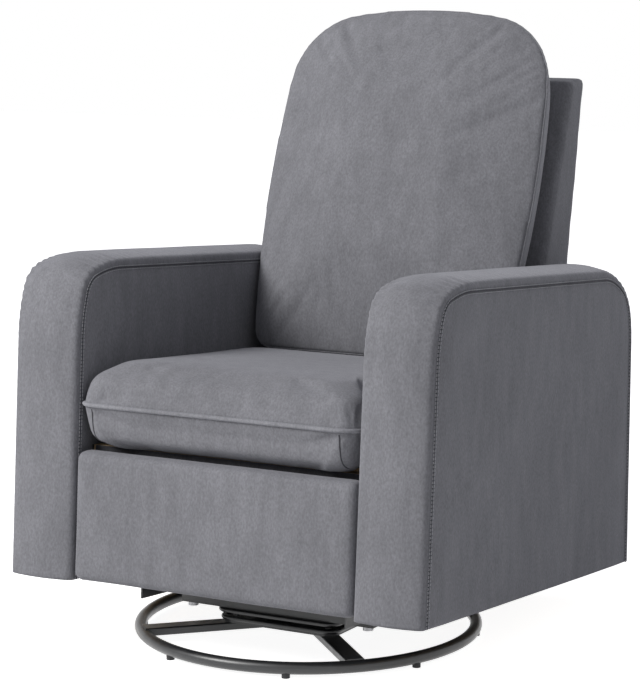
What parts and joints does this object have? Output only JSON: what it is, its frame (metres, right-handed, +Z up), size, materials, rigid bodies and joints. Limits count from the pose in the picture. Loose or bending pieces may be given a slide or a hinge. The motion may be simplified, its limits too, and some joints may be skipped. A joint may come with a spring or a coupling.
{
  "type": "swivel glider recliner",
  "caption": "Upholstered armchair that swivels on a ring base, glides on four swing links, reclines its back and lifts a linkage footrest.",
  "frame": {"origin": "on the floor, under the middle of the chair's bounding box; the swivel axis stands 115 mm in front of it", "axes": "+Z up, -Y the way the sitter faces, +X to the sitter's left"},
  "size_m": [0.793, 0.9197, 1.0703],
  "materials": {
    "grey_velvet": "short-pile velvet, soft sheen",
    "black_metal": "black satin powder coat",
    "plated_steel": "zinc plated",
    "plywood": "bare plywood",
    "elastic_webbing": "woven elastic strap",
    "black_plastic": "moulded, fine grain"
  },
  "bodies": {
    "base": {"base_ring": "black_metal", "base_spokes": "black_metal", "base_glides": "black_plastic", "hub_plate": "black_metal", "hub_bolts": "plated_steel", "swivel_lower_race": "black_metal", "swivel_pivot_bolt": "plated_steel", "swivel_pivot_nut": "plated_steel"},
    "bearing": {"bearing_cage": "black_plastic", "bearing_balls": "plated_steel"},
    "cradle": {"swivel_upper_race": "black_metal", "cradle_front_rail": "black_metal", "cradle_rear_rail": "black_metal", "cradle_side_rails": "black_metal", "cradle_towers": "black_metal", "cradle_bolts": "plated_steel", "upper_link_pins": "plated_steel"},
    "front_swing": {"front_swing_links": "black_metal", "front_link_bushes": "black_plastic"},
    "rear_swing": {"rear_swing_links": "black_metal", "rear_link_bushes": "black_plastic"},
    "carriage": {"carriage_rails": "black_metal", "lower_link_pins": "plated_steel", "carriage_cross_bars": "black_metal", "mechanism_side_plates": "black_metal", "mechanism_legs": "black_metal", "carriage_bolts": "plated_steel", "seat_front_rail": "plywood", "seat_rear_rail": "plywood", "seat_webbing": "elastic_webbing", "seat_cushion": "grey_velvet", "left_arm_cover": "grey_velvet", "right_arm_cover": "grey_velvet", "left_arm_frame": "plywood", "right_arm_frame": "plywood", "rear_board": "plywood", "rear_pad": "grey_velvet", "recline_pins": "plated_steel", "footrest_plate_pins": "plated_steel", "release_bezel": "black_plastic"},
    "back": {"back_brackets": "black_metal", "back_frame": "plywood", "back_webbing": "elastic_webbing", "back_cover": "grey_velvet", "back_cushion": "grey_velvet"},
    "rear_links": {"footrest_rear_links": "black_metal", "footrest_torque_tube": "black_metal", "footrest_knee_pins": "plated_steel"},
    "front_links": {"footrest_front_links": "black_metal", "footrest_front_pins": "plated_steel"},
    "control_links": {"footrest_control_links": "black_metal"},
    "board_links": {"footrest_board_links": "black_metal"},
    "footrest": {"footrest_brackets": "black_metal", "footrest_board": "plywood", "footrest_pad": "grey_velvet", "footrest_ear_pins": "plated_steel"},
    "release": {"release_lever": "black_plastic"}
  },
  "joints": [
    {"name": "swivel", "type": "hinge", "parent": "base", "child": "cradle", "pos_m": [0, -0.115, 0.044], "axis": [0, 0, 1], "continuous": true},
    {"name": "bearing_roll", "type": "hinge", "parent": "base", "child": "bearing", "pos_m": [0, -0.115, 0.044], "axis": [0, 0, 1], "continuous": true},
    {"name": "front_link_swing", "type": "hinge", "parent": "cradle", "child": "front_swing", "pos_m": [0, -0.225, 0.2], "axis": [1, 0, 0], "range_deg": [-22, 22]},
    {"name": "rear_link_swing", "type": "hinge", "parent": "cradle", "child": "rear_swing", "pos_m": [0, -0.005, 0.18269], "axis": [1, 0, 0], "range_deg": [-22, 22]},
    {"name": "glide", "type": "hinge", "parent": "front_swing", "child": "carriage", "pos_m": [0, -0.225, 0.088], "axis": [1, 0, 0], "range_deg": [-22, 22]},
    {"name": "recline", "type": "hinge", "parent": "carriage", "child": "back", "pos_m": [0, 0.27743, 0.30637], "axis": [-1, 0, 0], "range_deg": [0, 35]},
    {"name": "footrest", "type": "hinge", "parent": "carriage", "child": "rear_links", "pos_m": [0, -0.23944, 0.30291], "axis": [-1, 0, 0], "range_deg": [0, 100]},
    {"name": "footrest_front_link", "type": "hinge", "parent": "rear_links", "child": "front_links", "pos_m": [0, -0.20937, 0.14067], "axis": [-1, 0, 0], "range_deg": [-120, 0]},
    {"name": "footrest_control_link", "type": "hinge", "parent": "carriage", "child": "control_links", "pos_m": [0, -0.18833, 0.31494], "axis": [-1, 0, 0], "range_deg": [0, 95.2]},
    {"name": "footrest_board_link", "type": "hinge", "parent": "rear_links", "child": "board_links", "pos_m": [0, -0.15842, 0.14828], "axis": [-1, 0, 0], "range_deg": [-122.2, 0]},
    {"name": "footrest_board", "type": "hinge", "parent": "front_links", "child": "footrest", "pos_m": [0, -0.3688, 0.3161], "axis": [-1, 0, 0], "range_deg": [0, 110]},
    {"name": "release_lever", "type": "hinge", "parent": "carriage", "child": "release", "pos_m": [-0.39, -0.25028, 0.45824], "axis": [0, 0.0785, 0.9969], "range_deg": [0, 30], "stiffness_Nm_per_rad": 1.2, "springref_deg": -5.73}
  ],
  "couplings": [
    {"joint": "bearing_roll", "follows": "swivel", "ratio": 0.5},
    {"joint": "front_link_swing", "follows": "glide", "ratio": -1},
    {"joint": "rear_link_swing", "follows": "glide", "ratio": -1},
    {"joint": "footrest_front_link", "follows": "footrest", "ratio": -1.2},
    {"joint": "footrest_control_link", "follows": "footrest", "ratio": 0.952},
    {"joint": "footrest_board_link", "follows": "footrest", "ratio": -1.222},
    {"joint": "footrest_board", "follows": "footrest", "ratio": 1.1}
  ]
}
